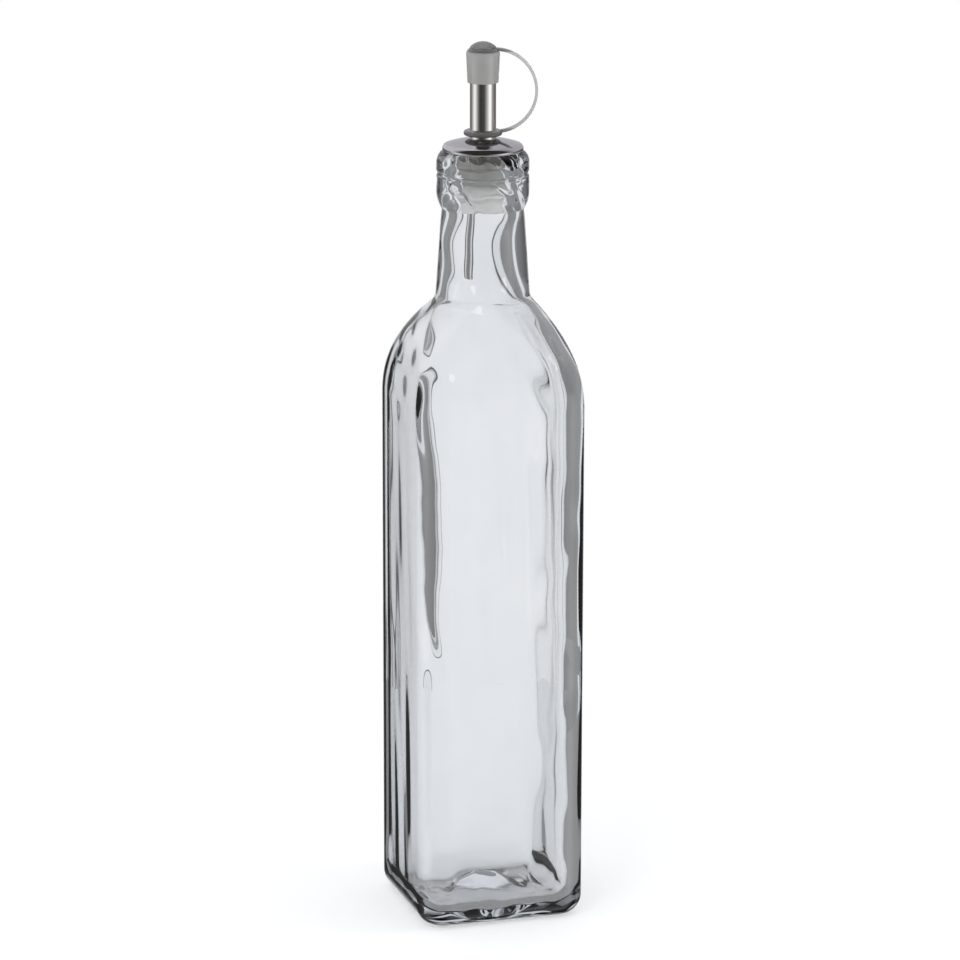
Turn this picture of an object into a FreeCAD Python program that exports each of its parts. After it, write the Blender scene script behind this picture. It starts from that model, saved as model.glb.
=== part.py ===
"""Square oil and vinegar bottle of clear glass, with a steel pourer pushed into its neck.

Frame: millimetres, +Z up, origin at the centre of the base, where the bottle stands.
The flat sides face along X and Y. Six pieces make the object:

bottle_glass   hollow square bottle with a pushed-up base, round neck and ring finish
stopper        ribbed plastic plug that holds the pourer in the neck
dome           thin polished steel cover over the plug and the bottle's mouth
spout          straight steel tube that the liquid leaves by
vent_tube      thin steel tube that hangs in the neck and lets air in
cap            plastic cap, moulded in one with its strap and the ring round the spout

The pieces of the pourer are drawn about the centre of the bottle's mouth, with the strap
along their own +X, and are turned in the neck together.
"""

import FreeCAD
import Part
import Sketcher

import math
import os
import re

from FreeCAD import Placement, Rotation, Vector

SIZES = {
    # glass, outside
    "glass_height": 260.0,
    "body_width": 57.7,
    "corner_radius": 9.1,
    "heel_radius": 6.9,
    "shoulder_drop": 84.0,
    "shoulder_sweep": 39.4,
    "shoulder_onset": 2.5,
    "waist_radius": 5.0,
    "neck_radius": 13.7,
    "neck_draft": 3.9,
    # ring finish round the mouth
    "finish_height": 19.3,
    "finish_swell": 1.65,
    "finish_foot": 6.0,
    "groove_drop": 7.4,
    "groove_half": 0.9,
    "groove_round": 1.5,
    "lip_round": 4.2,
    "lip_reach": 2.15,
    # glass, inside
    "wall": 3.2,
    "inner_top_drop": 1.0,
    "inner_waist_radius": 23.7,
    "inner_corner_radius": 8.6,
    "inner_heel_radius": 7.4,
    "base_thickness": 4.5,
    "neck_wall": 5.4,
    "bore_depth": 21.0,
    "bore_draft": 2.0,
    "bore_lip": 0.8,
    # pushed-up base
    "punt_inset": 9.85,
    "punt_depth": 6.0,
    "floor_crown_inset": 10.85,
    "floor_crown_rise": 5.5,
    # stopper
    "flange_inset": 0.1,
    "flange_thickness": 0.4,
    "stopper_length": 18.8,
    "rib_depth": 1.1,
    "stopper_taper": 0.5,
    "stopper_chamfer": 0.4,
    "rib_first": 4.0,
    "rib_height": 1.8,
    "rib_tip": 0.7,
    "rib_gap": 0.05,
    "socket_depth": 12.0,
    "flow_radius": 2.4,
    "flow_offset": 1.8,
    # dome
    "dome_overhang": 0.4,
    "dome_rise": 3.65,
    "dome_rim": 0.2,
    "dome_edge": 1.8,
    "dome_sheet": 0.6,
    "dome_gap": 0.1,
    # spout
    "spout_radius": 4.35,
    "spout_wall": 0.5,
    "spout_reach": 33.4,
    "spout_lip": 0.2,
    "spout_gap": 0.04,
    # vent tube
    "vent_radius": 1.4,
    "vent_wall": 0.35,
    "vent_margin": 1.4,
    "vent_hang": 42.6,
    "vent_roof": 1.1,
    "vent_gap": 0.03,
    # cap, strap and ring
    "cap_length": 11.0,
    "cap_wall": 0.8,
    "cap_foot_round": 0.3,
    "cap_flare": 0.45,
    "cap_shoulder": 2.1,
    "cap_shoulder_round": 2.4,
    "cap_waist_inset": 0.15,
    "cap_roof": 0.5,
    "crown_step": 0.1,
    "crown_edge": 0.35,
    "crown_rise": 1.75,
    "strap_inset": 0.35,
    "strap_width": 2.6,
    "strap_thickness": 0.95,
    "strap_round": 0.3,
    "ring_width": 2.05,
    "ring_lift": 0.9,
    "ring_height": 1.75,
    "ring_gap": 0.12,
    "ring_round": 0.8,
    # the pourer is turned in the neck
    "pourer_turn": -17.0,
}
RIB_COUNT = 3
SHOULDER_STEPS = 8
ROUND_END_SPLIT = 4.0  # degrees from an axis to where the last, round section is split
CORNERS = ((1, 1), (-1, 1), (-1, -1), (1, -1))
UPRIGHT = Vector(0, 0, 1)
ORIGIN = (-1, 1)  # how a sketch dimension refers to the sketch's origin
LEVEL = 1e-4  # how closely an edge lies at a height to count as being there



def shoulder_bend(half, waist, draft, neck, rise):
    """Radius of a shoulder that leaves a side upright and meets the waist and the neck.

    Seen from the side, the half width follows the shoulder's arc inwards, then the hollow
    arc of the waist, then a straight slope up to the neck's radius, all tangent.
    """
    turned_in = f"{waist} * (cos({draft}) - cos(shoulder_sweep))"
    climb = f"{waist} * (sin(shoulder_sweep) - sin({draft}))"
    sloped_in = f"({rise} - {climb}) * tan({draft})"
    share = f"(1 - cos(shoulder_sweep) - sin(shoulder_sweep) * tan({draft}))"
    return f"({half} - {neck} - {turned_in} - {sloped_in}) / {share}"


FOLLOWING = {
    # sizes that follow from the others, so that mating pieces keep their fit
    "inner_half": "body_width / 2 - wall",
    "body_top": "glass_height - shoulder_drop",
    "inner_top": "body_top - inner_top_drop",
    "bore_radius": "neck_radius - neck_wall",
    "finish_radius": "neck_radius + finish_swell",
    "mouth_radius": "finish_radius - lip_reach",
    "punt_radius": "body_width / 2 - punt_inset",
    "floor_crown_radius": "body_width / 2 - floor_crown_inset",
    "shoulder_radius": shoulder_bend(
        "body_width / 2", "waist_radius", "neck_draft", "neck_radius",
        "shoulder_drop - finish_height",
    ),
    "inner_shoulder_radius": shoulder_bend(
        "inner_half", "inner_waist_radius", "bore_draft", "bore_radius",
        "shoulder_drop + inner_top_drop - bore_depth",
    ),
    "flange_radius": "mouth_radius - flange_inset",
    "dome_radius": "flange_radius + dome_overhang",
    "stopper_core": "bore_radius - rib_depth",
    "rib_pitch": f"(stopper_length - rib_first) / {RIB_COUNT}",
    "vent_offset": "stopper_core - stopper_taper - vent_radius - vent_margin",
    "vent_grip": "stopper_length - socket_depth - vent_roof",
    "cap_foot": "spout_reach - cap_length",
    "cap_foot_radius": "spout_radius + cap_wall",
    "cap_top_radius": "cap_foot_radius + cap_flare",
    "cap_waist_radius": "spout_radius - cap_waist_inset",
    "crown_radius": "cap_waist_radius + crown_step",
    "strap_centre": "spout_radius - strap_inset",
    "ring_radius": "spout_radius + ring_width",
}

document = FreeCAD.newDocument("oil_bottle")


def make_sheet():
    """The spreadsheet: driving dimensions as plain numbers, then those that follow."""
    sheet = document.addObject("Spreadsheet::Sheet", "Sizes")
    cells = [(alias, str(value)) for alias, value in SIZES.items()]
    cells += [(alias, f"={formula}") for alias, formula in FOLLOWING.items()]
    for row, (alias, content) in enumerate(cells, start=1):
        sheet.set(f"A{row}", alias)
        sheet.setAlias(f"B{row}", alias)
        sheet.set(f"B{row}", content)
    document.recompute()
    return sheet


sheet = make_sheet()


def named(expression):
    """The expression with each alias written as a reference to its cell."""
    def cell(match):
        word = match.group(0)
        return f"Sizes.{word}" if word in SIZES or word in FOLLOWING else word

    return re.sub(r"[a-z_][a-z_0-9]*", cell, str(expression))


def number(expression):
    """The value of an expression in the sheet's aliases."""
    value = sheet.evalExpression(named(expression))
    return float(getattr(value, "Value", value))


# ---------------------------------------------------------------- bodies and sketches


def make_body(label):
    body = document.addObject("PartDesign::Body", label)
    body.Label = label
    return body


def seat_in_mouth(body):
    """Places a piece of the pourer on the centre of the mouth and turns it in the neck."""
    body.Placement = Placement(UPRIGHT, Rotation(UPRIGHT, 1))
    body.setExpression("Placement.Base.z", named("glass_height"))
    body.setExpression("Placement.Rotation.Angle", named("pourer_turn"))


def plane_of(body, role):
    return next(item for item in body.Origin.OriginFeatures if item.Role == role)


def sketch_on(body, role, name, height=None):
    """An empty sketch on one of the body's origin planes, raised by an expression."""
    sketch = body.newObject("Sketcher::SketchObject", name)
    sketch.AttachmentSupport = [(plane_of(body, role), "")]
    sketch.MapMode = "FlatFace"
    if height is not None:
        sketch.setExpression("AttachmentOffset.Base.z", named(height))
    return sketch


def bind(sketch, kind, references, expression):
    """Adds a dimension to the sketch and ties it to the expression."""
    index = sketch.addConstraint(Sketcher.Constraint(kind, *references, number(expression)))
    sketch.setExpression(f"Constraints[{index}]", named(expression))


def arc_through(start, end, radius, side):
    """The arc between two points whose centre lies on the given side, left +1, right -1."""
    chord = end - start
    rise = math.sqrt(max(radius**2 - chord.Length**2 / 4, 0.0))
    normal = Vector(-chord.y, chord.x, 0).normalize()
    centre = (start + end) / 2 + normal * rise * side
    first = math.atan2(start.y - centre.y, start.x - centre.x)
    last = math.atan2(end.y - centre.y, end.x - centre.x)
    circle = Part.Circle(centre, UPRIGHT, radius)
    if side > 0:
        return Part.ArcOfCircle(circle, first, last), 1, 2
    return Part.ArcOfCircle(circle, last, first), 2, 1


def draw_outline(sketch, steps):
    """Draws a closed outline whose corners and radii are all tied to the sheet.

    Each step is (x, y) for a corner with a straight edge to the next one, or
    (x, y, radius, side) where an arc leads on, its centre on the left (+1) or right (-1).
    """
    corners = [Vector(number(step[0]), number(step[1]), 0) for step in steps]
    ends = []
    for index, step in enumerate(steps):
        start = corners[index]
        end = corners[(index + 1) % len(steps)]
        if len(step) == 2:
            edge = sketch.addGeometry(Part.LineSegment(start, end), False)
            ends.append((edge, 1, 2))
        else:
            arc, first, last = arc_through(start, end, number(step[2]), step[3])
            edge = sketch.addGeometry(arc, False)
            ends.append((edge, first, last))
    for index, (edge, first, last) in enumerate(ends):
        following, start, _ = ends[(index + 1) % len(ends)]
        sketch.addConstraint(Sketcher.Constraint("Coincident", edge, last, following, start))
    for step, (edge, first, last) in zip(steps, ends):
        bind(sketch, "DistanceX", (*ORIGIN, edge, first), step[0])
        bind(sketch, "DistanceY", (*ORIGIN, edge, first), step[1])
        if len(step) > 2:
            bind(sketch, "Radius", (edge,), step[2])


def turned(body, name, steps, cut=False):
    """A revolution of an outline in the XZ plane about Z, or the groove it cuts."""
    sketch = sketch_on(body, "XZ_Plane", f"{name}_profile")
    draw_outline(sketch, steps)
    kind = "PartDesign::Groove" if cut else "PartDesign::Revolution"
    feature = body.newObject(kind, name)
    feature.Profile = sketch
    feature.ReferenceAxis = (sketch, ["V_Axis"])
    feature.Angle = 360.0
    sketch.Visibility = False
    return feature


def draw_circle(sketch, x, radius):
    """A circle on the sketch's x axis, its place and size tied to the sheet."""
    circle = Part.Circle(Vector(number(x), 0, 0), UPRIGHT, number(radius))
    edge = sketch.addGeometry(circle, False)
    bind(sketch, "DistanceX", (*ORIGIN, edge, 3), x)
    bind(sketch, "DistanceY", (*ORIGIN, edge, 3), "0")
    bind(sketch, "Radius", (edge,), radius)


def drilled(body, name, x, radius, top, bottom):
    """A round hole along Z between two heights."""
    sketch = sketch_on(body, "XY_Plane", f"{name}_circle", top)
    draw_circle(sketch, x, radius)
    pocket = body.newObject("PartDesign::Pocket", name)
    pocket.Profile = sketch
    pocket.setExpression("Length", named(f"({top}) - ({bottom})"))
    return pocket


def edges_at(shape, height):
    """Names of the edges that lie wholly at a height."""
    names = []
    for index, edge in enumerate(shape.Edges, start=1):
        box = edge.BoundBox
        if max(abs(box.ZMin - height), abs(box.ZMax - height)) < LEVEL:
            names.append(f"Edge{index}")
    return names


def arc_edges(shape):
    """Names of the edges that are arcs of a circle."""
    edges = enumerate(shape.Edges, start=1)
    return [f"Edge{index}" for index, edge in edges if isinstance(edge.Curve, Part.Circle)]


def filleted(body, name, base, edges, radius):
    """A fillet of the given radius on some edges of the feature it follows."""
    fillet = body.newObject("PartDesign::Fillet", name)
    fillet.Base = (base, edges)
    fillet.setExpression("Radius", named(radius))
    return fillet


# ---------------------------------------------------------------- the glass


def rounded_square(half, radius):
    """The outline of a square with rounded corners, anticlockwise from its right side."""
    flat = f"(({half}) - ({radius}))"
    corners = []
    for across, up in CORNERS:
        on_side = (f"{across} * ({half})", f"{up} * {flat}")
        on_cap = (f"{across} * {flat}", f"{up} * ({half})")
        first, last = (on_side, on_cap) if across == up else (on_cap, on_side)
        corners.append((*first, radius, 1))
        corners.append(last)
    return corners


def round_section(radius):
    """A circle drawn as eight arcs, to match the edges of a rounded square."""
    long_leg = f"({radius}) * cos({ROUND_END_SPLIT})"
    short_leg = f"({radius}) * sin({ROUND_END_SPLIT})"
    corners = []
    for across, up in CORNERS:
        on_side = (f"{across} * {long_leg}", f"{up} * {short_leg}")
        on_cap = (f"{across} * {short_leg}", f"{up} * {long_leg}")
        first, last = (on_side, on_cap) if across == up else (on_cap, on_side)
        corners.append((*first, radius, 1))
        corners.append((*last, radius, 1))
    return corners


def shoulder_sections(body, name, half, corner, arc, foot):
    """Sketches from the square body up to the round neck, along the shoulder's arc.

    The half width follows an arc that starts upright, and the corners grow rounder
    until the section is a circle.
    """
    sections = []
    for step in range(SHOULDER_STEPS + 1):
        share = step / SHOULDER_STEPS
        angle = f"{share} * shoulder_sweep"
        width = f"({half} - {arc} * (1 - cos({angle})))"
        roundness = f"({corner} / ({half}) + (1 - {corner} / ({half})) * {share} ^ shoulder_onset)"
        height = f"{foot} + {arc} * sin({angle})"
        sketch = sketch_on(body, "XY_Plane", f"{name}_{step}", height)
        if step < SHOULDER_STEPS:
            draw_outline(sketch, rounded_square(width, f"{width} * {roundness}"))
        else:
            draw_outline(sketch, round_section(width))
        sections.append(sketch)
    return sections


def lofted(body, name, sections, cut=False):
    kind = "PartDesign::SubtractiveLoft" if cut else "PartDesign::AdditiveLoft"
    loft = body.newObject(kind, name)
    loft.Profile = sections[0]
    loft.Sections = sections[1:]
    loft.Ruled = False
    loft.Closed = False
    return loft


def waist(half, arc, foot, bend, draft):
    """The hollow curve from the end of the shoulder's arc into the slope of the neck.

    Returns its start and its end, as expressions.
    """
    start_r = f"({half} - {arc} * (1 - cos(shoulder_sweep)))"
    start_z = f"({foot} + {arc} * sin(shoulder_sweep))"
    end_r = f"({start_r} - {bend} * (cos({draft}) - cos(shoulder_sweep)))"
    end_z = f"({start_z} + {bend} * (sin(shoulder_sweep) - sin({draft})))"
    return (start_r, start_z), (end_r, end_z)


def corner_limit(radius, corner):
    """A fillet along the foot of a rounded square, kept smaller than its upright corners."""
    return f"min({radius}; {corner} - 0.5)"


def drift_bend(drift, height):
    """Radius of an arc that ends upright, having drifted sideways over a height."""
    return f"((({drift}) ^ 2 + ({height}) ^ 2) / (2 * ({drift})))"


def swell(radius, base, rise):
    """Half of a low rounded mound as an outline, level at its foot and at its top."""
    bend = f"((({radius}) ^ 2 + ({rise}) ^ 2) / (4 * ({rise})))"
    foot = (radius, base, bend, -1)
    middle = (f"({radius}) / 2", f"({base}) + ({rise}) / 2", bend, 1)
    top = ("0", f"({base}) + ({rise})")
    return [foot, middle, top]


def make_glass():
    body = make_body("bottle_glass")
    half = "body_width / 2"
    base_sketch = sketch_on(body, "XY_Plane", "body_outline")
    draw_outline(base_sketch, rounded_square(half, "corner_radius"))
    block = body.newObject("PartDesign::Pad", "block")
    block.Profile = base_sketch
    block.setExpression("Length", named("body_top"))
    document.recompute()
    heel = corner_limit("heel_radius", "corner_radius")
    filleted(body, "heel", block, edges_at(block.Shape, 0), heel)
    outer = shoulder_sections(
        body, "shoulder", half, "corner_radius", "shoulder_radius", "body_top"
    )
    lofted(body, "shoulder", outer)
    turned(body, "neck", neck_outline(f"({half})"))
    carve_inside(body)
    punt = [("0", "0 - 1"), ("punt_radius", "0 - 1"), *swell("punt_radius", "0", "punt_depth")]
    turned(body, "punt", punt, cut=True)
    return body


def neck_outline(half):
    """The neck and its ring finish, from the end of the shoulder up to the mouth."""
    neck_top = "(glass_height - finish_height)"
    start, end = waist(half, "shoulder_radius", "body_top", "waist_radius", "neck_draft")
    swell_top = f"({neck_top} + finish_foot)"
    foot_bend = drift_bend("finish_radius - neck_radius", "finish_foot")
    groove = "(glass_height - groove_drop)"
    lip_drop = "sqrt(lip_round ^ 2 - (lip_round - finish_radius + mouth_radius) ^ 2)"
    return [
        ("0", start[1]),
        (*start, "waist_radius", -1),
        end,
        ("neck_radius", neck_top, foot_bend, 1),
        ("finish_radius", swell_top),
        ("finish_radius", f"{groove} - groove_half", "groove_round", -1),
        ("finish_radius", f"{groove} + groove_half"),
        ("finish_radius", f"glass_height - {lip_drop}", "lip_round", 1),
        ("mouth_radius", "glass_height"),
        ("0", "glass_height"),
    ]


def carve_inside(body):
    """Cuts the cavity: the square well, the shoulder above it and the bore of the neck."""
    well_sketch = sketch_on(body, "XY_Plane", "well_outline", "inner_top")
    draw_outline(well_sketch, rounded_square("inner_half", "inner_corner_radius"))
    well = body.newObject("PartDesign::Pocket", "well")
    well.Profile = well_sketch
    well.setExpression("Length", named("inner_top - base_thickness"))
    document.recompute()
    floor = edges_at(well.Shape, number("base_thickness"))
    limit = corner_limit("inner_heel_radius", "inner_corner_radius")
    filleted(body, "floor_edge", well, floor, limit)
    arc = "inner_shoulder_radius"
    inner = shoulder_sections(
        body, "inner_shoulder", "inner_half", "inner_corner_radius", arc, "inner_top"
    )
    lofted(body, "inner_shoulder", inner, cut=True)
    bore_end = "(glass_height - bore_depth)"
    start, end = waist("inner_half", arc, "inner_top", "inner_waist_radius", "bore_draft")
    turned(body, "bore", [
        ("0", start[1]),
        (*start, "inner_waist_radius", -1),
        end,
        ("bore_radius", bore_end),
        ("bore_radius", "glass_height - bore_lip", "bore_lip", -1),
        ("bore_radius + bore_lip", "glass_height"),
        ("bore_radius + bore_lip", "glass_height + 1"),
        ("0", "glass_height + 1"),
    ], cut=True)
    turned(body, "floor_crown", [
        ("0", "base_thickness - 1"),
        ("floor_crown_radius", "base_thickness - 1"),
        *swell("floor_crown_radius", "base_thickness", "floor_crown_rise"),
    ])


# ---------------------------------------------------------------- the pourer

DOME_FLANK = "(dome_radius - dome_edge)"
DOME_BEND = (
    f"(({DOME_FLANK} ^ 2 + dome_rise ^ 2 - dome_edge ^ 2) / (2 * (dome_rise - dome_edge)))"
)
DOME_CENTRE = f"(flange_thickness + dome_rim + dome_rise - {DOME_BEND})"


def on_sphere(radius, reach):
    """Height of a sphere about the dome's centre at a distance from the axis."""
    return f"({DOME_CENTRE} + sqrt(({radius}) ^ 2 - ({reach}) ^ 2))"


def edge_end(radius):
    """Where the dome's rounded edge runs into the part of that radius about its centre."""
    reach = f"(({radius}) * {DOME_FLANK} / ({DOME_BEND} - dome_edge))"
    return reach, on_sphere(radius, reach)


def make_dome():
    """A pressed cover with a rounded edge, standing on the stopper's flange."""
    body = make_body("dome")
    seat_in_mouth(body)
    inner_bend = f"({DOME_BEND} - dome_sheet)"
    inner_radius = "(dome_radius - dome_sheet)"
    hole = "(spout_radius + spout_gap)"
    turned(body, "pressing", [
        (inner_radius, "flange_thickness"),
        ("dome_radius", "flange_thickness"),
        ("dome_radius", "flange_thickness + dome_rim", "dome_edge", 1),
        (*edge_end(DOME_BEND), DOME_BEND, 1),
        (hole, on_sphere(DOME_BEND, hole)),
        (hole, on_sphere(inner_bend, hole), inner_bend, -1),
        (*edge_end(inner_bend), "dome_edge - dome_sheet", -1),
        (inner_radius, "flange_thickness + dome_rim"),
    ])
    return body


def rib_outline(index):
    """One rib of the stopper: level above, sloping below, with a narrow sealing tip."""
    top = f"(0 - rib_first - {index} * rib_pitch)"
    tip = "bore_radius - rib_gap"
    return [
        (core_radius(top), top),
        (tip, top),
        (tip, f"{top} - rib_tip"),
        (core_radius(f"{top} - rib_height"), f"{top} - rib_height"),
    ]


def core_radius(height):
    return f"(stopper_core + stopper_taper * ({height}) / stopper_length)"


def make_stopper():
    """A plug with ribs that seal in the bore, a flange on the mouth and a domed head."""
    body = make_body("stopper")
    seat_in_mouth(body)
    head_bend = f"({DOME_BEND} - dome_sheet - dome_gap)"
    ribs = [corner for index in range(RIB_COUNT) for corner in rib_outline(index)]
    bottom_radius = core_radius("0 - stopper_length")
    turned(body, "plug", [
        ("0", "0 - stopper_length"),
        (f"{bottom_radius} - stopper_chamfer", "0 - stopper_length"),
        (core_radius("stopper_chamfer - stopper_length"), "stopper_chamfer - stopper_length"),
        *reversed(ribs),
        ("stopper_core", "0"),
        ("flange_radius", "0"),
        ("flange_radius", "flange_thickness"),
        (DOME_FLANK, "flange_thickness"),
        (DOME_FLANK, on_sphere(head_bend, DOME_FLANK), head_bend, 1),
        ("0", on_sphere(head_bend, "0")),
    ])
    floor = "0 - socket_depth"
    foot = "0 - stopper_length"
    seat = "vent_grip - stopper_length"
    head = "dome_rise + dome_rim + flange_thickness"
    drilled(body, "socket", "0", "spout_radius + spout_gap", head, floor)
    drilled(body, "flow_hole", "flow_offset", "flow_radius", floor, foot)
    drilled(body, "vent_bore", "0 - vent_offset", "vent_radius - vent_wall", floor, foot)
    drilled(body, "vent_seat", "0 - vent_offset", "vent_radius + vent_gap", seat, foot)
    return body


def make_spout():
    """The straight tube, its mouth lightly rounded, standing on the floor of its socket."""
    body = make_body("spout")
    seat_in_mouth(body)
    inner = "(spout_radius - spout_wall)"
    turned(body, "tube", [
        (inner, "0 - socket_depth"),
        ("spout_radius", "0 - socket_depth"),
        ("spout_radius", "spout_reach - spout_lip", "spout_lip", 1),
        ("spout_radius - spout_lip", "spout_reach"),
        (f"{inner} + spout_lip", "spout_reach", "spout_lip", 1),
        (inner, "spout_reach - spout_lip"),
    ])
    return body


def make_vent_tube():
    body = make_body("vent_tube")
    seat_in_mouth(body)
    sketch = sketch_on(body, "XY_Plane", "vent_section", "0 - vent_hang")
    draw_circle(sketch, "0 - vent_offset", "vent_radius")
    draw_circle(sketch, "0 - vent_offset", "vent_radius - vent_wall")
    tube = body.newObject("PartDesign::Pad", "tube_length")
    tube.Profile = sketch
    tube.setExpression("Length", named("vent_hang - stopper_length + vent_grip"))
    return body


def make_cap():
    """The cap, its strap and its ring, moulded as one piece of soft plastic."""
    body = make_body("cap")
    seat_in_mouth(body)
    ring_foot = f"({on_sphere(DOME_BEND, 'spout_radius')} + ring_lift)"
    ring_top = f"({ring_foot} + ring_height)"
    add_strap(body, f"({ring_top} - strap_thickness / 2)", "spout_reach")
    add_cup(body)
    add_ring(body, ring_foot, ring_top)
    drilled(body, "cap_bore", "0", "spout_radius + spout_gap", "spout_reach", "cap_foot - 1")
    drilled(body, "ring_bore", "0", "spout_radius + ring_gap", f"{ring_top} + 1", f"{ring_foot} - 1")
    return body


def add_strap(body, low, high):
    """A flat strap bent in a half circle from the ring to the cap's roof."""
    middle = f"((({low}) + ({high})) / 2)"
    bend = f"((({high}) - ({low})) / 2)"
    outer = f"({bend} + strap_thickness / 2)"
    inner = f"({bend} - strap_thickness / 2)"
    sketch = sketch_on(body, "XZ_Plane", "strap_side")
    draw_outline(sketch, [
        ("strap_centre", f"{middle} - {outer}", outer, 1),
        (f"strap_centre + {outer}", middle, outer, 1),
        ("strap_centre", f"{middle} + {outer}"),
        ("strap_centre", f"{middle} + {inner}", inner, -1),
        (f"strap_centre + {inner}", middle, inner, -1),
        ("strap_centre", f"{middle} - {inner}"),
    ])
    strap = body.newObject("PartDesign::Pad", "strap")
    strap.Profile = sketch
    strap.Midplane = True
    strap.setExpression("Length", named("strap_width"))
    document.recompute()
    rounding = "min(strap_round; strap_thickness * 0.4)"
    filleted(body, "strap_edges", strap, arc_edges(strap.Shape), rounding)


def add_cup(body):
    """The cap's cup: wider at the top, with a round shoulder under a low crown."""
    shoulder_top = "(spout_reach + cap_roof)"
    crown_bend = "((crown_radius ^ 2 + crown_rise ^ 2) / (2 * crown_rise))"
    turned(body, "cup", [
        ("0", "cap_foot"),
        ("cap_foot_radius - cap_foot_round", "cap_foot", "cap_foot_round", 1),
        ("cap_foot_radius", "cap_foot + cap_foot_round"),
        ("cap_top_radius", f"{shoulder_top} - cap_shoulder", "cap_shoulder_round", 1),
        ("cap_waist_radius", shoulder_top),
        ("crown_radius", f"{shoulder_top} + crown_edge", crown_bend, 1),
        ("0", f"{shoulder_top} + crown_edge + crown_rise"),
    ])


def add_ring(body, foot, top):
    """The ring that keeps the cap on the spout, a little above the dome."""
    inner = "(spout_radius + ring_gap / 2)"
    turned(body, "ring", [
        (inner, foot),
        ("ring_radius - ring_round", foot, "ring_round", 1),
        ("ring_radius", f"{foot} + ring_round"),
        ("ring_radius", f"{top} - ring_round", "ring_round", 1),
        ("ring_radius - ring_round", top),
        (inner, top),
    ])


# ---------------------------------------------------------------- checks and export

CUTS = ("PartDesign::Pocket", "PartDesign::Groove", "PartDesign::SubtractiveLoft")
ADDITIONS = ("PartDesign::Pad", "PartDesign::Revolution", "PartDesign::AdditiveLoft")


def check_document():
    """Stops if any object failed to rebuild, or a cut or an addition had no effect."""
    document.recompute()
    for item in document.Objects:
        if {"Invalid", "Error"} & set(item.State):
            raise RuntimeError(f"{item.Label} failed: {item.State}")
        before = getattr(item, "BaseFeature", None)
        if item.TypeId in CUTS and item.Shape.Volume >= before.Shape.Volume:
            raise RuntimeError(f"{item.Label} removes nothing")
        if item.TypeId in ADDITIONS and before and item.Shape.Volume <= before.Shape.Volume:
            raise RuntimeError(f"{item.Label} adds nothing")


def check_body(body):
    shape = body.Shape
    if shape.isNull() or not shape.isValid() or len(shape.Solids) != 1:
        raise RuntimeError(f"{body.Label} isn't one valid solid")


bodies = [make_glass(), make_stopper(), make_dome(), make_spout(), make_vent_tube(), make_cap()]
check_document()
os.makedirs("parts", exist_ok=True)
for body in bodies:
    check_body(body)
    body.Shape.exportStep(f"parts/{body.Label}.step")
    print(f"{body.Label}: {body.Shape.Volume:.0f} mm3")
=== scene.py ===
import math

import bpy
import numpy as np
from mathutils import Matrix, Vector


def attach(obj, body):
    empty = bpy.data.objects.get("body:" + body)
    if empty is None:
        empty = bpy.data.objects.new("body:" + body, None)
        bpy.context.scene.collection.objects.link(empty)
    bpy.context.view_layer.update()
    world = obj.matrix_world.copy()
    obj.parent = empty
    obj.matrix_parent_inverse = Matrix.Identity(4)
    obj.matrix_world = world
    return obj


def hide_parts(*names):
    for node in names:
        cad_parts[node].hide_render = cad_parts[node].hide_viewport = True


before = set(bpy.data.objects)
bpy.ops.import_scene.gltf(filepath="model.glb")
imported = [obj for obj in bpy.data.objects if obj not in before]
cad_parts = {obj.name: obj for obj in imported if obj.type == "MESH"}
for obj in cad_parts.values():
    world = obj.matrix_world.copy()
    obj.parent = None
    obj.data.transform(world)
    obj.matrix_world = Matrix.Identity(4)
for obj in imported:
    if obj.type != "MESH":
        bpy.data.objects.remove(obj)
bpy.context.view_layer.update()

# The square oil and vinegar bottle: its glass is drawn anew here with the unevenness of blown
# glass, and the five pieces of its pourer are the CAD model's own.

MM = 0.001

# The glass, in millimetres and radians, as the CAD model has it.
GLASS_TOP = 260.0
HALF, CORNER, HEEL = 28.85, 9.1, 6.9  # outside of the body: half width, corners, edge of the base
BODY_TOP, SHOULDER_ARC = 176.0, 53.3
INNER_TOP, INNER_SHOULDER_ARC = 175.0, 49.925
SWEEP = math.radians(39.4)  # how far round its arc the shoulder goes
ONSET = 2.5  # how late on the shoulder its square rounds off
WAIST_BEND, INNER_WAIST_BEND = 5.0, 23.7
NECK, NECK_DRAFT = 13.7, math.radians(3.9)
FINISH_FOOT_Z, FINISH_FOOT, FINISH = 240.7, 6.0, 15.35
GROOVE_Z, GROOVE_HALF, GROOVE_ROUND = 252.6, 0.9, 1.5
LIP_ROUND, MOUTH = 4.2, 13.2
WALL, INNER_CORNER, INNER_HEEL, FLOOR_Z = 3.2, 8.6, 7.4, 4.5
BORE, BORE_DRAFT, BORE_DEPTH, BORE_LIP = 8.3, math.radians(2.0), 21.0, 0.8
PUNT, PUNT_DEPTH = 19.0, 6.0  # the hollow under the base
CROWN, CROWN_RISE = 18.0, 5.5  # the mound on the cavity's floor
AROUND = 576  # points round each level of the mesh


# ---------------------------------------------------------------- shapes of the glass


def polar(theta, half, corner):
    """Distance from the axis to a square of that half width with rounded corners."""
    folded = np.abs((theta + np.pi / 4) % (np.pi / 2) - np.pi / 4)
    corner = min(corner, half)
    flat = half - corner
    along, across = np.cos(folded), np.sin(folded)
    reach = (along + across) * flat
    root = np.sqrt(np.maximum(reach**2 - 2 * flat**2 + corner**2, 0.0))
    on_flat = half * across <= flat * along
    return np.where(on_flat, half / along, reach + root)


def ring(half, corner, z):
    """One level of the glass: (half width, corner radius, height)."""
    return (half, corner, z)


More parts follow.
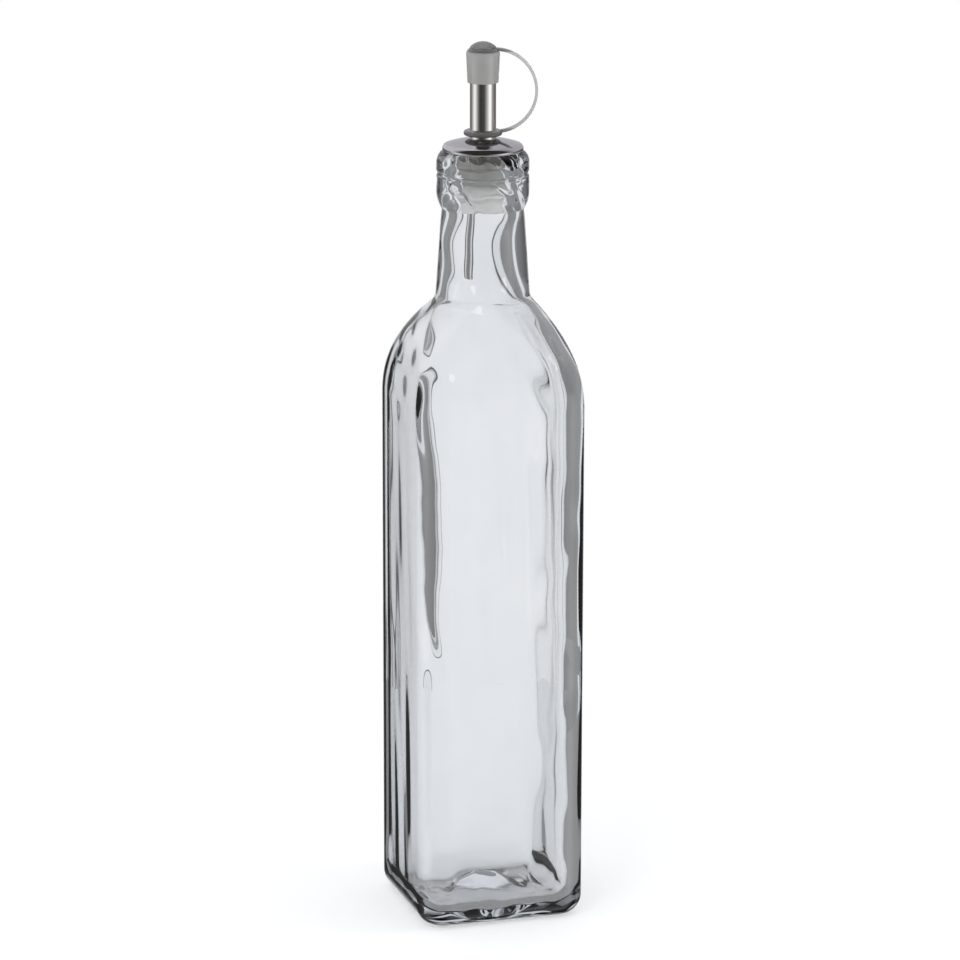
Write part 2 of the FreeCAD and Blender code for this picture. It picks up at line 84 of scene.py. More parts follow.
def arc_points(start, end, radius, side, count):
    """Points along an arc from start to end, both (radius, height), without the first."""
    (x0, z0), (x1, z1) = start, end
    dx, dz = x1 - x0, z1 - z0
    chord = math.hypot(dx, dz)
    rise = math.sqrt(max(radius**2 - chord**2 / 4, 0.0))
    cx = (x0 + x1) / 2 - side * rise * dz / chord
    cz = (z0 + z1) / 2 + side * rise * dx / chord
    first = math.atan2(z0 - cz, x0 - cx)
    turn = (math.atan2(z1 - cz, x1 - cx) - first + math.pi) % (2 * math.pi) - math.pi
    angles = [first + turn * k / count for k in range(1, count + 1)]
    return [(cx + radius * math.cos(a), cz + radius * math.sin(a)) for a in angles]


def line_points(start, end, count):
    """Points along a straight line, without the first."""
    shares = [k / count for k in range(1, count + 1)]
    return [(start[0] + (end[0] - start[0]) * s, start[1] + (end[1] - start[1]) * s) for s in shares]


def waist(half, arc, foot, bend, draft):
    """Start and end of the hollow curve between shoulder and neck."""
    start = (half - arc * (1 - math.cos(SWEEP)), foot + arc * math.sin(SWEEP))
    end = (
        start[0] - bend * (math.cos(draft) - math.cos(SWEEP)),
        start[1] + bend * (math.sin(SWEEP) - math.sin(draft)),
    )
    return start, end


def swell(radius, base, rise, count):
    """Rings of a low round mound from its foot to near its top."""
    bend = (radius**2 + rise**2) / (4 * rise)
    rings = []
    for k in range(count):
        r = radius * (1 - k / count)
        if r > radius / 2:
            height = bend - math.sqrt(bend**2 - (radius - r) ** 2)
        else:
            height = rise - bend + math.sqrt(bend**2 - r**2)
        rings.append(ring(r, r, base + height))
    return rings


def shoulder(half, corner, arc, foot, count):
    """Rings from the square body up to the round foot of the neck."""
    rings = []
    for k in range(1, count + 1):
        share = k / count
        angle = share * SWEEP
        width = half - arc * (1 - math.cos(angle))
        roundness = corner / half + (1 - corner / half) * share**ONSET
        rings.append(ring(width, width * roundness, foot + arc * math.sin(angle)))
    return rings


def rounded_foot(half, corner, radius, base, count):
    """Rings of the rounded edge between a floor and upright walls, from the floor up."""
    rings = []
    for k in range(count + 1):
        angle = math.pi / 2 * (1 - k / count)
        inset = radius * (1 - math.cos(angle))
        rings.append(ring(half - inset, corner - inset, base + radius * (1 - math.sin(angle))))
    return rings


def upright(half, corner, low, high, count):
    """Rings up a straight wall, without the first."""
    return [ring(half, corner, low + (high - low) * k / count) for k in range(1, count + 1)]


def outer_rings():
    """Levels of the outside from the middle of the punt up to the mouth."""
    rings = list(reversed(swell(PUNT, 0.0, PUNT_DEPTH, 14)))
    inner, foot = HALF - HEEL, CORNER - HEEL
    for share in (0.25, 0.5, 0.75):
        half = PUNT + (inner - PUNT) * share
        rings.append(ring(half, half + (foot - inner) * share**2, 0.0))
    rings += rounded_foot(HALF, CORNER, HEEL, 0.0, 16)
    rings += upright(HALF, CORNER, HEEL, BODY_TOP, 24)
    rings += shoulder(HALF, CORNER, SHOULDER_ARC, BODY_TOP, 44)
    start, end = waist(HALF, SHOULDER_ARC, BODY_TOP, WAIST_BEND, NECK_DRAFT)
    points = arc_points(start, end, WAIST_BEND, -1, 24)
    foot = (NECK, FINISH_FOOT_Z)
    points += line_points(end, foot, 8)
    drift = FINISH - NECK
    bead = (FINISH, FINISH_FOOT_Z + FINISH_FOOT)
    points += arc_points(foot, bead, (drift**2 + FINISH_FOOT**2) / (2 * drift), 1, 10)
    below, above = (FINISH, GROOVE_Z - GROOVE_HALF), (FINISH, GROOVE_Z + GROOVE_HALF)
    points += line_points(bead, below, 14)
    points += arc_points(below, above, GROOVE_ROUND, -1, 8)
    drop = math.sqrt(LIP_ROUND**2 - (LIP_ROUND - FINISH + MOUTH) ** 2)
    lip = (FINISH, GLASS_TOP - drop)
    points += line_points(above, lip, 4)
    points += arc_points(lip, (MOUTH, GLASS_TOP), LIP_ROUND, 1, 12)
    return rings + [ring(r, r, z) for r, z in points]


def inner_rings():
    """Levels of the cavity from the mouth down to the middle of its floor."""
    half, arc = HALF - WALL, INNER_SHOULDER_ARC
    rings = list(reversed(swell(CROWN, FLOOR_Z, CROWN_RISE, 18)))
    flat, foot = half - INNER_HEEL, INNER_CORNER - INNER_HEEL
    for share in (0.33, 0.66):
        width = CROWN + (flat - CROWN) * share
        rings.append(ring(width, width + (foot - flat) * share**2, FLOOR_Z))
    rings += rounded_foot(half, INNER_CORNER, INNER_HEEL, FLOOR_Z, 16)
    rings += upright(half, INNER_CORNER, FLOOR_Z + INNER_HEEL, INNER_TOP, 70)
    rings += shoulder(half, INNER_CORNER, arc, INNER_TOP, 44)
    bore_end = GLASS_TOP - BORE_DEPTH
    start, end = waist(half, arc, INNER_TOP, INNER_WAIST_BEND, BORE_DRAFT)
    points = arc_points(start, end, INNER_WAIST_BEND, -1, 24)
    points += line_points(end, (BORE, bore_end), 14)
    points += line_points((BORE, bore_end), (BORE, GLASS_TOP - BORE_LIP), 40)
    top = (BORE + BORE_LIP, GLASS_TOP)
    points += arc_points((BORE, GLASS_TOP - BORE_LIP), top, BORE_LIP, -1, 5)
    points += line_points(top, (MOUTH, GLASS_TOP), 4)[:-1]
    rings += [ring(r, r, z) for r, z in points]
    return list(reversed(rings))


def levels(rings, theta):
    """The rings as points: (level, place round it, xyz) in millimetres."""
    grid = np.empty((len(rings), len(theta), 3))
    for index, (half, corner, z) in enumerate(rings):
        reach = polar(theta, half, corner)
        grid[index, :, 0] = reach * np.cos(theta)
        grid[index, :, 1] = reach * np.sin(theta)
        grid[index, :, 2] = z
    return grid


# ---------------------------------------------------------------- unevenness of blown glass

# Waves in the skin, each (size, how fast it turns along x, y and z, phase), in mm and radians per mm.
BODY_WAVES = (
    (0.10, 0.42, 0.10, 0.012, 0.4),
    (0.09, -0.13, 0.47, 0.021, 1.9),
    (0.08, 0.25, -0.31, 0.035, 3.1),
    (0.05, 0.70, 0.22, 0.060, 0.8),
    (0.04, 0.30, 0.75, -0.080, 2.2),
)
SHOULDER_WAVES = (
    (0.16, 0.33, 0.12, 0.28, 1.1),
    (0.14, -0.21, 0.37, 0.22, 2.7),
    (0.09, 0.52, -0.40, 0.41, 0.3),
)
FLOOR_WAVES = (
    (0.22, 0.24, 0.11, 0.0, 0.9),
    (0.18, -0.16, 0.33, 0.0, 2.1),
    (0.10, 0.55, 0.40, 0.0, 1.2),
    (0.07, -0.80, 0.62, 0.0, 0.2),
)
FINISH_WAVES = (
    (0.040, 0.62, 0.35, 0.80, 0.5),
    (0.040, -0.48, 0.70, 0.55, 2.0),
    (0.030, 0.95, -0.55, -1.00, 1.1),
    (0.016, 1.30, 0.90, 1.60, 3.0),
)
BORE_WAVES = (
    (0.22, 0.85, 0.30, 0.75, 0.4),
    (0.20, -0.55, 0.95, -0.60, 1.7),
    (0.14, 1.20, -0.80, 1.15, 2.6),
    (0.10, 0.70, 1.60, 1.60, 0.9),
)
# Bearings round the axis, in degrees: 0 is +x (the photo's right), -90 is the front.
FRONT_LEFT, BACK_LEFT, BACK_RIGHT, FRONT_RIGHT = -134.0, 137.0, 46.0, -51.0
STREAK_FOOT, STREAK_FULL = 94.0, 136.0  # heights between which the drawn streak widens
STREAK_DEPTH, STREAK_WIDTH = 1.85, 8.3  # in mm, and in degrees round the axis
CORNER_DEPTH, CORNER_WIDTH = 1.05, 9.8  # the same of the plain thick corner below the streak
BORE_LEAN = (-1.5, 0.4)  # how far the bore stands off the axis under the stopper, in x and y


def ripple(points, waves):
    """The sum of the waves at the points, in millimetres."""
    field = np.zeros(points.shape[:-1])
    for size, kx, ky, kz, phase in waves:
        field += size * np.sin(points[..., 0] * kx + points[..., 1] * ky + points[..., 2] * kz + phase)
    return field


def ease(value, low, high):
    """0 below low, 1 above high, smooth between."""
    share = np.clip((value - low) / (high - low), 0.0, 1.0)
    return share * share * (3 - 2 * share)


def between(value, low, low_end, high, high_end):
    """1 between low_end and high, easing to 0 at low and at high_end."""
    return ease(value, low, low_end) * (1 - ease(value, high, high_end))


def bump(bearing, centre, width):
    """A smooth bump, 1 at its centre, over the bearings round the axis, in degrees."""
    return np.exp(-(((bearing - centre + 180) % 360 - 180) / width) ** 2)


def polar_parts(grid):
    """Bearing of each point in degrees, and the unit direction from the axis out to it."""
    bearing = np.degrees(np.arctan2(grid[..., 1], grid[..., 0]))
    reach = np.linalg.norm(grid[..., :2], axis=-1)
    return bearing, grid[..., :2] / np.maximum(reach, 1e-6)[..., None]


def front_left_corner(z, bearing):
    """Thick low down; above, the drawn streak, which leans to the left as it climbs."""
    high = ease(z, 84.0, 104.0)
    drift = 0.9 * np.sin(z * 0.09 + 0.6) + 0.5 * np.sin(z * 0.21) + 0.25 * np.sin(z * 0.63)
    centre = FRONT_LEFT - high * (5.5 + 0.1 * (z - 105.0) - drift)
    drawn = 0.45 + 0.55 * ease(z, STREAK_FOOT, STREAK_FULL)
    depth = (1 - high) * CORNER_DEPTH + high * drawn * (STREAK_DEPTH - 0.45 * ease(z, 145.0, 180.0))
    width = (1 - high) * CORNER_WIDTH + high * STREAK_WIDTH * drawn
    streak = depth * bump(bearing, centre + 2.2 * high * (1 - drawn), width)
    furrow = 0.5 * (1 - high) * bump(bearing, FRONT_LEFT - 1.0, 5.0)
    return streak - furrow


def back_left_corner(z, bearing):
    """Thick low down, thinner above."""
    return (1.3 - 0.8 * ease(z, 84.0, 104.0)) * bump(bearing, BACK_LEFT, 8.0)


def right_corners(z, bearing):
    """Both wander and come and go as they climb."""
    sway = np.sin(z * 0.112 - 7.73)
    front = (0.1 + 0.6 * sway) * bump(bearing, FRONT_RIGHT + 9.0 * sway, 7.5)
    back = 0.35 * np.sin((z - 125.0) * 0.03) * bump(bearing, BACK_RIGHT - 7.0 * sway, 8.0)
    return front + back


def thick_corners(z, bearing):
    """How far the cavity's corners stand in: glass gathered there as it was blown."""
    corners = front_left_corner(z, bearing) + back_left_corner(z, bearing) + right_corners(z, bearing)
    return between(z, 14.0, 24.0, 176.0, 203.0) * corners


def uneven(grid):
    """The cavity of blown glass: drawn streaks up the body, ripples in shoulder and floor."""
    z = grid[..., 2]
    bearing, outward = polar_parts(grid)
    on_wall = between(z, FLOOR_Z + 2.0, FLOOR_Z + 12.0, 226.0, 238.0)
    in_shoulder = between(z, 165.0, 188.0, 212.0, 236.0)
    left_face = 1 - 0.75 * bump(bearing, 172.0, 52.0) * ease(z, 60.0, 90.0)
    neck = 1 - 0.55 * ease(z, 200.0, 212.0)
    push = left_face * neck * on_wall * ripple(grid, BODY_WAVES)
    push += in_shoulder * ripple(grid, SHOULDER_WAVES) - thick_corners(z, bearing)
    grid[..., :2] += outward * push[..., None]
    on_floor = 1 - ease(z, FLOOR_Z + 6.5, FLOOR_Z + 10.0)
    grid[..., 2] += on_floor * ripple(grid, FLOOR_WAVES)
    return grid


def wavy(grid, waves, low, high, shift):
    """Small dents and swells round the axis between two heights, moved outward by shift."""
    share = between(grid[..., 2], low, low + 3.0, high - 1.6, high)
    _, outward = polar_parts(grid)
    grid[..., :2] += outward * (share * (shift + ripple(grid, waves)))[..., None]
    return grid


def lean_bore(grid):
    """The bore of the neck wanders to one side below the stopper."""
    share = between(grid[..., 2], 204.0, 228.0, 229.0, 239.5)
    grid[..., :2] += share[..., None] * np.array(BORE_LEAN)
    return grid


# ---------------------------------------------------------------- the bottle's mesh


def tube_mesh(name, grid):
    """A closed mesh through rings of points; both ends are closed by a single point."""
    count, around, _ = grid.shape
    first = grid[0].mean(axis=0, keepdims=True)
    last = grid[-1].mean(axis=0, keepdims=True)
    points = np.concatenate([grid.reshape(-1, 3), first, last]) * MM
    across = np.arange(around)
    beside = (across + 1) % around
    quads = []
    for level in range(count - 1):
        low, high = level * around, (level + 1) * around
        quads.append(np.stack([low + across, low + beside, high + beside, high + across], axis=1))
    faces = [tuple(quad) for quad in np.concatenate(quads).tolist()]
    start, end, top = count * around, count * around + 1, (count - 1) * around
    faces += [(start, int(b), int(a)) for a, b in zip(across, beside)]
    faces += [(end, top + int(a), top + int(b)) for a, b in zip(across, beside)]
    mesh = bpy.data.meshes.new(name)
    mesh.from_pydata(points.tolist(), [], faces)
    mesh.validate()
    mesh.polygons.foreach_set("use_smooth", [True] * len(mesh.polygons))
    mesh.update()
    piece = bpy.data.objects.new(name, mesh)
    bpy.context.scene.collection.objects.link(piece)
    return piece


def make_bottle():
    """The bottle as one closed skin: up the outside, over the mouth and down the inside."""
    theta = np.arange(AROUND) * 2 * math.pi / AROUND
    outside = wavy(levels(outer_rings(), theta), FINISH_WAVES, FINISH_FOOT_Z - 1.7, GLASS_TOP - 0.1, 0.0)
    inside = lean_bore(uneven(levels(inner_rings(), theta)))
    inside = wavy(inside, BORE_WAVES, FINISH_FOOT_Z - 0.7, GLASS_TOP - BORE_LIP, 0.5)
    return tube_mesh("bottle", np.concatenate([outside, inside]))


# ---------------------------------------------------------------- shader nodes


def new_material(name):
    """A node material with its Principled shader: (material, nodes, links, shader)."""
    material = bpy.data.materials.new(name)
    material.use_nodes = True
    nodes, links = material.node_tree.nodes, material.node_tree.links
    return material, nodes, links, nodes["Principled BSDF"]


def set_sockets(shader, **values):
    """Sets plain values; a socket's name is written with underscores."""
    for name, value in values.items():
        shader.inputs[name.replace("_", " ")].default_value = value


def math_node(nodes, links, operation, *values):
    """A Math node; each value is a number or an output."""
    node = nodes.new("ShaderNodeMath")
    node.operation = operation
    for socket, value in zip(node.inputs, values):
        if isinstance(value, (int, float)):
            socket.default_value = value
        else:
            links.new(value, socket)
    return node.outputs["Value"]


def limited(nodes, links, value):
    """The value held between 0 and 1."""
    return math_node(nodes, links, "MINIMUM", math_node(nodes, links, "MAXIMUM", value, 0.0), 1.0)


def equals(nodes, links, value, number):
    """1 where a whole value is that number, else 0."""
    return math_node(nodes, links, "COMPARE", value, number, 0.5)


def mixed(nodes, links, share, low, high):
    """Colour low where share is 0 and high where it is 1; each is a colour or an output."""
    mix = nodes.new("ShaderNodeMix")
    mix.data_type = "RGBA"
    links.new(share, mix.inputs["Factor"])
    for socket, value in ((mix.inputs["A"], low), (mix.inputs["B"], high)):
        if isinstance(value, tuple):
            socket.default_value = value
        else:
            links.new(value, socket)
    return mix.outputs["Result"]


def ramp_of(nodes, links, source, stops, interpolation="EASE"):
    """Colours along a source; each stop is (place, grey or colour)."""
    ramp = nodes.new("ShaderNodeValToRGB")
    ramp.color_ramp.interpolation = interpolation
    while len(ramp.color_ramp.elements) < len(stops):
        ramp.color_ramp.elements.new(0.5)
    for element, (position, value) in zip(ramp.color_ramp.elements, stops):
        element.position = position
        element.color = (*value, 1) if isinstance(value, tuple) else (value, value, value, 1)
    links.new(source, ramp.inputs["Fac"])
    return ramp.outputs["Color"]


def speckle(nodes, links, scale, stretch=(1, 1, 1), detail=3.0):
    """Noise in object coordinates, in cycles per metre."""
    place = nodes.new("ShaderNodeTexCoord")
    mapping = nodes.new("ShaderNodeMapping")
    mapping.inputs["Scale"].default_value = stretch
    noise = nodes.new("ShaderNodeTexNoise")
    noise.inputs["Scale"].default_value = scale
    noise.inputs["Detail"].default_value = detail
    links.new(place.outputs["Object"], mapping.inputs["Vector"])
    links.new(mapping.outputs["Vector"], noise.inputs["Vector"])
    return noise.outputs["Fac"]


def vary_colour(nodes, links, shader, source, low, high):
    """Base colour from low to high over the middle of a noise."""
    tone = ramp_of(nodes, links, source, ((0.35, low), (0.65, high)), "LINEAR")
    links.new(tone, shader.inputs["Base Color"])


def vary_roughness(nodes, links, shader, source, low, high):
    """Roughness from low to high over the middle of a noise."""
    spread = nodes.new("ShaderNodeMapRange")
    spread.inputs["From Min"].default_value = 0.3
    spread.inputs["From Max"].default_value = 0.7
    spread.inputs["To Min"].default_value = low
    spread.inputs["To Max"].default_value = high
    links.new(source, spread.inputs["Value"])
    links.new(spread.outputs["Result"], shader.inputs["Roughness"])


def relief(nodes, links, shader, source, depth):
    """Fine grain in the surface, depth in metres."""
    grain = nodes.new("ShaderNodeBump")
    grain.inputs["Strength"].default_value = 0.5
    grain.inputs["Distance"].default_value = depth
    links.new(source, grain.inputs["Height"])
    links.new(grain.outputs["Normal"], shader.inputs["Normal"])


# ---------------------------------------------------------------- materials

GLASS_TINT = ((0.940, 0.953, 0.968), (0.968, 0.977, 0.992))
GLASS_DEPTH_COLOUR, GLASS_DENSITY = (0.40, 0.45, 0.52, 1), 18.0  # what a thick stretch takes away
CAP_TONES_AND_PAINTED_SHADE = (  # (share of the piece's height, colour): ring, strap and cap, then its crown; the dark ring and dark crown are painted shade
    (0.00, (0.22, 0.21, 0.21)), (0.06, (0.28, 0.28, 0.27)), (0.09, (0.62, 0.62, 0.61)),
    (0.885, (0.68, 0.68, 0.67)), (0.90, (0.26, 0.26, 0.26)), (1.00, (0.32, 0.32, 0.32)),
)
STOPPER_TONES_AND_PAINTED_SHADE = (  # clear and pale at its foot, with painted shade, dark, where the spout stands in it
    (0.00, (1.00, 0.99, 0.95)), (0.20, (0.96, 0.95, 0.91)), (0.40, (0.44, 0.43, 0.41)),
    (0.75, (0.40, 0.38, 0.35)), (0.92, (0.55, 0.53, 0.50)), (1.00, (0.70, 0.68, 0.65)),
)


def glass_material():
    """Clear glass, a little blue, that darkens where light goes a long way through it."""
    material, nodes, links, shader = new_material("clear_glass")
    set_sockets(shader, Transmission_Weight=1.0, IOR=1.51, Roughness=0.0)
    vary_colour(nodes, links, shader, speckle(nodes, links, 30.0), *GLASS_TINT)
    volume = nodes.new("ShaderNodeVolumeAbsorption")
    volume.inputs["Color"].default_value = GLASS_DEPTH_COLOUR
    volume.inputs["Density"].default_value = GLASS_DENSITY
    links.new(volume.outputs["Volume"], nodes["Material Output"].inputs["Volume"])
    return material


def steel_material(name, colour, rough, stretch, scale, depth):
    """Steel with a grain of that stretch, scale and depth; rough is (low, high)."""
    material, nodes, links, shader = new_material(name)
    set_sockets(shader, Metallic=1.0)
    grain = speckle(nodes, links, scale, stretch, 5.0)
    darker = tuple(part * 0.93 for part in colour)
    vary_colour(nodes, links, shader, grain, darker, colour)
    vary_roughness(nodes, links, shader, grain, *rough)
    relief(nodes, links, shader, grain, depth)
    return material


def plastic_material(name, colours_and_painted_shade, transmission, rough):
    """Soft plastic, a little cloudy, coloured by height from its foot up, with painted shade among the
    colours.
    """
    material, nodes, links, shader = new_material(name)
    set_sockets(shader, Transmission_Weight=transmission, IOR=1.45, Specular_IOR_Level=1.0)
    place = nodes.new("ShaderNodeTexCoord")
    split = nodes.new("ShaderNodeSeparateXYZ")
    links.new(place.outputs["Generated"], split.inputs["Vector"])
    # Colour by height: where it goes dark it is painted shade.
    tone = ramp_of(nodes, links, split.outputs["Z"], colours_and_painted_shade)
    cloud = speckle(nodes, links, 260.0)
    clouded = nodes.new("ShaderNodeVectorMath")
    clouded.operation = "SCALE"
    links.new(tone, clouded.inputs[0])
    links.new(math_node(nodes, links, "MULTIPLY_ADD", cloud, 0.12, 0.90), clouded.inputs["Scale"])
    links.new(clouded.outputs["Vector"], shader.inputs["Base Color"])
    vary_roughness(nodes, links, shader, cloud, rough - 0.04, rough + 0.04)
    return material


def dress(piece, material):
    """Gives a piece its one material."""
    piece.data.materials.clear()
    piece.data.materials.append(material)


# ---------------------------------------------------------------- room and light

# The room stands still round the bottle. Tones round its horizon run from behind the bottle (0), over
# its left side (0.25), the side that the camera stands in (0.5) and its right side (0.75), to 1.
FACING = -17.0  # degrees: the bearing of the camera's side, from the front towards the left
WINDOWS = (  # what steel, and the outside of glass, mirror: a bright window on either side
    (0.00, 0.9), (0.05, 0.7), (0.09, 0.10), (0.15, 0.15), (0.20, 0.32), (0.235, 0.65), (0.27, 1.0),
    (0.31, 1.0), (0.345, 0.55), (0.385, 0.18), (0.43, 0.03), (0.53, 0.05), (0.565, 0.2),
    (0.60, 0.45), (0.64, 0.85), (0.67, 1.2), (0.70, 1.2), (0.73, 0.6), (0.765, 0.22),
    (0.80, 0.18), (0.91, 0.08), (0.95, 0.7), (1.00, 0.9),
)
INNER_WINDOWS = (  # to a ray mirrored once on its way through both walls: no side is as dark
    (0.00, 0.9), (0.05, 0.7), (0.09, 0.16), (0.15, 0.20), (0.20, 0.32), (0.235, 0.65), (0.27, 1.0),
    (0.31, 1.0), (0.345, 0.60), (0.385, 0.36), (0.43, 0.30), (0.53, 0.30), (0.565, 0.36),
    (0.60, 0.45), (0.64, 0.85), (0.67, 1.2), (0.70, 1.2), (0.73, 0.6), (0.765, 0.30),
    (0.80, 0.22), (0.91, 0.16), (0.95, 0.7), (1.00, 0.9),
)
CEILING = (  # above the horizon, dark on the camera's side
    (0.00, (0.56, 0.55, 0.59)), (0.08, (0.78, 0.77, 0.80)), (0.22, (0.78, 0.77, 0.80)),
    (0.33, (0.04, 0.035, 0.03)), (0.67, (0.04, 0.035, 0.03)), (0.80, (0.56, 0.55, 0.59)),
    (1.00, (0.56, 0.55, 0.59)),
)
QUARTER = (  # seen straight through both walls: white, with a thin dark line between the quarters
    (0.00, 1.0), (0.21, 1.0), (0.245, 0.05), (0.28, 0.95), (0.50, 1.0), (0.72, 0.95),
    (0.755, 0.05), (0.79, 1.0), (1.00, 1.0),
)
TURNED = (  # seen after the glass has mirrored a ray inside
    (0.00, 1.0), (0.02, 1.0), (0.05, 0.34), (0.16, 0.26), (0.30, 0.24), (0.50, 0.40),
    (0.70, 0.24), (0.84, 0.26), (0.95, 0.34), (0.98, 1.0), (1.00, 1.0),
)
BENT = (  # seen when the glass only bends a ray
    (0.00, 1.0), (0.08, 1.0), (0.12, 0.25), (0.20, 0.12), (0.50, 0.30), (0.80, 0.12), (0.88, 0.25),
    (0.92, 1.0), (1.00, 1.0),
)
PLAIN, WHITE = (0.86, 0.87, 0.88, 1), (1, 1, 1, 1)
BEHIND_GLASS = (1.3, 1.3, 1.29, 1)  # what lights the stopper through the glass round it
BOTH_WALLS = 4  # faces of glass that a ray crosses on its way through both walls

LAMP_HEIGHT = 0.15  # metres: where on the bottle's axis the lamps are aimed

# The camera, in metres and radians: the middle of the picture is AIM_SIDE beside the axis.
YAW, ELEVATION, ROLL = math.radians(17.03), math.radians(14.02), math.radians(0.09)
DISTANCE, LENS, SENSOR = 1.5, 167.8125, 36
AIM_HEIGHT, AIM_SIDE = 0.14802, 0.00078

FLOOR_RADIUS = 0.26
FLOOR_LIFT, FLOOR_DIRECT_LIFT = 0.235, 0.06  # glow that makes the lit floor as white as the backdrop
FLOOR_BENT, FLOOR_MIRRORED = (0.13, 0.13, 0.135, 1), (0.05, 0.05, 0.05, 1)  # to rays turned aside
FLOOR_BENT_GLOW = 0.27  # and its glow to them, so that the bottle's own shadow isn't black


def compass(nodes, links, repeats):
    """0 to 1 round the horizon, the given number of times, and the height of the gaze."""
    place = nodes.new("ShaderNodeTexCoord")
    turn = nodes.new("ShaderNodeMapping")
    turn.inputs["Rotation"].default_value = (0, 0, math.radians(90 - FACING))
    split = nodes.new("ShaderNodeSeparateXYZ")
    links.new(place.outputs["Generated"], turn.inputs["Vector"])
    links.new(turn.outputs["Vector"], split.inputs["Vector"])
    angle = math_node(nodes, links, "ARCTAN2", split.outputs["Y"], split.outputs["X"])
    start = repeats + (0.5 if repeats == 1 else 0.0)
    turns = math_node(nodes, links, "MULTIPLY_ADD", angle, repeats / (2 * math.pi), start)
    return math_node(nodes, links, "FRACT", turns), split.outputs["Z"]


def make_world():
    """White to the camera; to the steel and the glass, a room with windows and darker sides."""
    world = bpy.data.worlds.new("studio")
    bpy.context.scene.world = world
    world.use_nodes = True
    nodes, links = world.node_tree.nodes, world.node_tree.links
    path = nodes.new("ShaderNodeLightPath").outputs
    around, height = compass(nodes, links, 1)
    quarter, _ = compass(nodes, links, 4)

    above = limited(nodes, links, math_node(nodes, links, "MULTIPLY_ADD", height, 9.0, 0.3))
    windows = ramp_of(nodes, links, around, WINDOWS)
    mirrored = mixed(nodes, links, above, windows, ramp_of(nodes, links, around, CEILING))

    only_bent = equals(nodes, links, path["Glossy Depth"], 0.0)
    once = equals(nodes, links, path["Glossy Depth"], 1.0)
    four_faces = equals(nodes, links, path["Transmission Depth"], BOTH_WALLS)
    on_lining = math_node(nodes, links, "MULTIPLY", once, four_faces)
    both_walls = equals(nodes, links, path["Ray Depth"], BOTH_WALLS + 1)
    straight = math_node(nodes, links, "MULTIPLY", both_walls, only_bent)
    turned, bent = ramp_of(nodes, links, around, TURNED), ramp_of(nodes, links, around, BENT)
    through = mixed(nodes, links, only_bent, turned, bent)
    through = mixed(nodes, links, on_lining, through, ramp_of(nodes, links, around, INNER_WINDOWS))
    through = mixed(nodes, links, straight, through, ramp_of(nodes, links, quarter, QUARTER))

    colour = mixed(nodes, links, path["Is Glossy Ray"], PLAIN, mirrored)
    colour = mixed(nodes, links, path["Is Transmission Ray"], colour, through)
    scattered = math_node(nodes, links, "MINIMUM", path["Diffuse Depth"], 1.0)
    lighting = mixed(nodes, links, path["Is Transmission Ray"], PLAIN, BEHIND_GLASS)
    colour = mixed(nodes, links, scattered, colour, lighting)
    colour = mixed(nodes, links, path["Is Camera Ray"], colour, WHITE)
    links.new(colour, nodes["Background"].inputs["Color"])
    nodes["Background"].inputs["Strength"].default_value = 1.0


def make_floor():
    """A plain pale floor that keeps the bottle's shadow and is grey to rays turned aside."""
    bpy.ops.mesh.primitive_circle_add(vertices=96, radius=FLOOR_RADIUS, fill_type="NGON")
    floor = bpy.context.object
    floor.name = "floor"
    material, nodes, links, shader = new_material("floor")
    set_sockets(shader, Roughness=0.9, Specular_IOR_Level=0.0)
    path = nodes.new("ShaderNodeLightPath").outputs
    seen = path["Is Camera Ray"]
    for name in ("Is Glossy Ray", "Is Transmission Ray"):
        seen = math_node(nodes, links, "MAXIMUM", seen, path[name])
    straight = equals(nodes, links, path["Ray Depth"], BOTH_WALLS)
    scattered = math_node(nodes, links, "MINIMUM", path["Diffuse Depth"], 1.0)
    aside = math_node(nodes, links, "SUBTRACT", path["Is Transmission Ray"], straight)
    aside = math_node(nodes, links, "MAXIMUM", math_node(nodes, links, "SUBTRACT", aside, scattered), 0.0)

    ground = ramp_of(nodes, links, speckle(nodes, links, 3.0), ((0.35, 0.80), (0.65, 0.81)))
    inside = math_node(nodes, links, "MINIMUM", path["Glossy Depth"], 1.0)
    grey = mixed(nodes, links, inside, FLOOR_BENT, FLOOR_MIRRORED)
    links.new(mixed(nodes, links, aside, ground, grey), shader.inputs["Base Color"])

    glow = 0.0
    plainly = math_node(nodes, links, "SUBTRACT", seen, aside)
    rays = ((plainly, FLOOR_LIFT), (aside, FLOOR_BENT_GLOW), (path["Is Camera Ray"], FLOOR_DIRECT_LIFT))
    for share, strength in rays:
        glow = math_node(nodes, links, "MULTIPLY_ADD", share, strength, glow)
    shader.inputs["Emission Color"].default_value = WHITE
    links.new(glow, shader.inputs["Emission Strength"])
    dress(floor, material)
    floor.visible_glossy = False


def aim(thing, spot, target):
    """Puts a lamp or a camera at a spot, looking at a target, upright."""
    thing.location = spot
    thing.rotation_mode = "QUATERNION"
    thing.rotation_quaternion = (Vector(target) - Vector(spot)).to_track_quat("-Z", "Y")


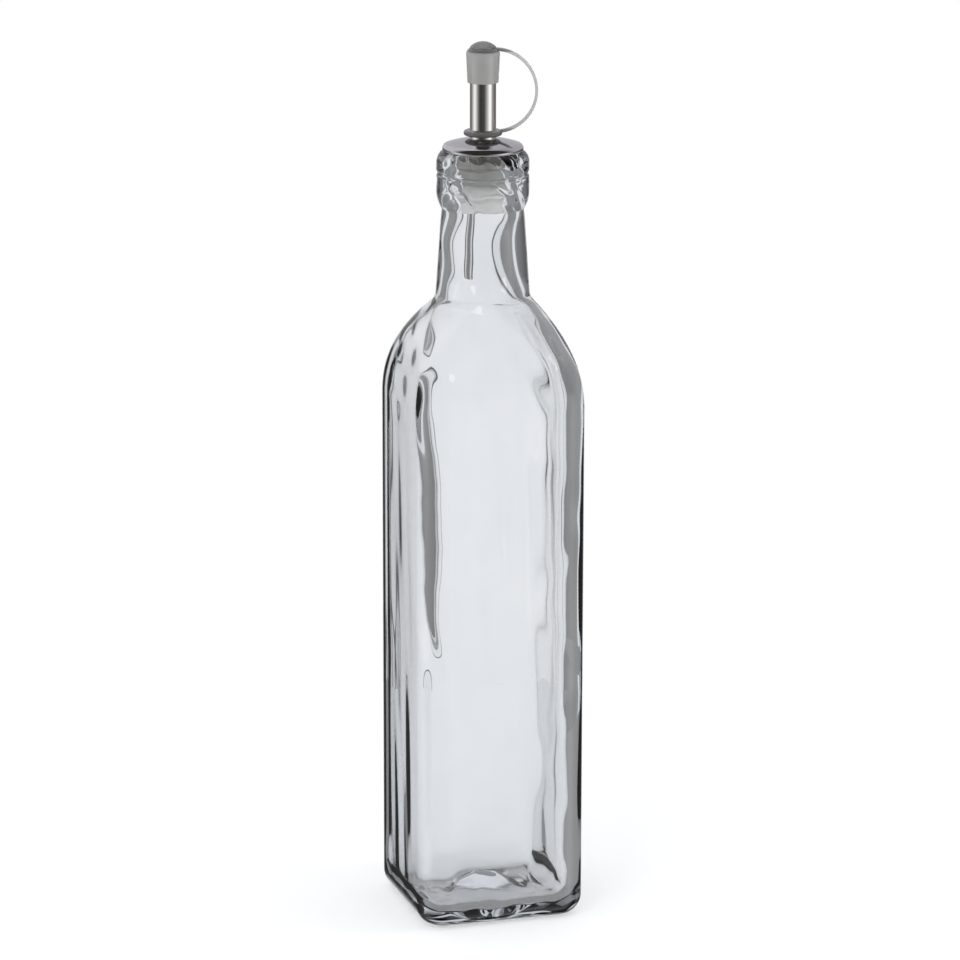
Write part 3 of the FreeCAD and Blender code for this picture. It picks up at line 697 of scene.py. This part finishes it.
def soft_box(name, spot, width, height, power):
    """A lamp that lights the plastic and the floor and doesn't show in gloss."""
    light = bpy.data.lights.new(name, "AREA")
    light.shape = "RECTANGLE"
    light.size, light.size_y = width, height
    light.energy = power
    lamp = bpy.data.objects.new(name, light)
    lamp.visible_glossy = False
    bpy.context.scene.collection.objects.link(lamp)
    aim(lamp, spot, (0, 0, LAMP_HEIGHT))


def make_camera():
    """The photo's view: from the front, a little left of it and above."""
    data = bpy.data.cameras.new("camera")
    data.lens = LENS
    data.sensor_width = SENSOR
    data.clip_start, data.clip_end = 0.05, 50
    camera = bpy.data.objects.new("camera", data)
    bpy.context.scene.collection.objects.link(camera)
    target = Vector((-AIM_SIDE * math.cos(YAW), AIM_SIDE * math.sin(YAW), AIM_HEIGHT))
    back = Vector((
        -math.sin(YAW) * math.cos(ELEVATION),
        -math.cos(YAW) * math.cos(ELEVATION),
        math.sin(ELEVATION),
    ))
    aim(camera, target + DISTANCE * back, target)
    roll = Matrix.Rotation(ROLL, 3, "Z").to_quaternion()
    camera.rotation_quaternion = camera.rotation_quaternion @ roll
    bpy.context.scene.camera = camera


# ---------------------------------------------------------------- the scene

bpy.context.scene.view_settings.view_transform = "Standard"

bottle = make_bottle()
dress(bottle, glass_material())
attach(bottle, "root")
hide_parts("bottle_glass")

brushed = steel_material("brushed_steel", (0.86, 0.84, 0.83), (0.12, 0.20), (1, 1, 18), 900.0, 0.000004)
polished = steel_material("polished_steel", (0.60, 0.59, 0.61), (0.02, 0.05), (1, 1, 1), 200.0, 0.000001)
looks = {
    "spout": brushed,
    "vent_tube": brushed,
    "dome": polished,
    "cap": plastic_material("cap_plastic", CAP_TONES_AND_PAINTED_SHADE, 0.60, 0.08),
    "stopper": plastic_material("stopper_plastic", STOPPER_TONES_AND_PAINTED_SHADE, 0.10, 0.20),
}
for name, material in looks.items():
    dress(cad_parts[name], material)

make_world()
make_floor()
soft_box("key", (-0.9, -0.9, 1.2), 0.6, 0.6, 3.5)
soft_box("fill", (1.2, -0.4, 0.8), 0.4, 0.7, 2.0)
make_camera()
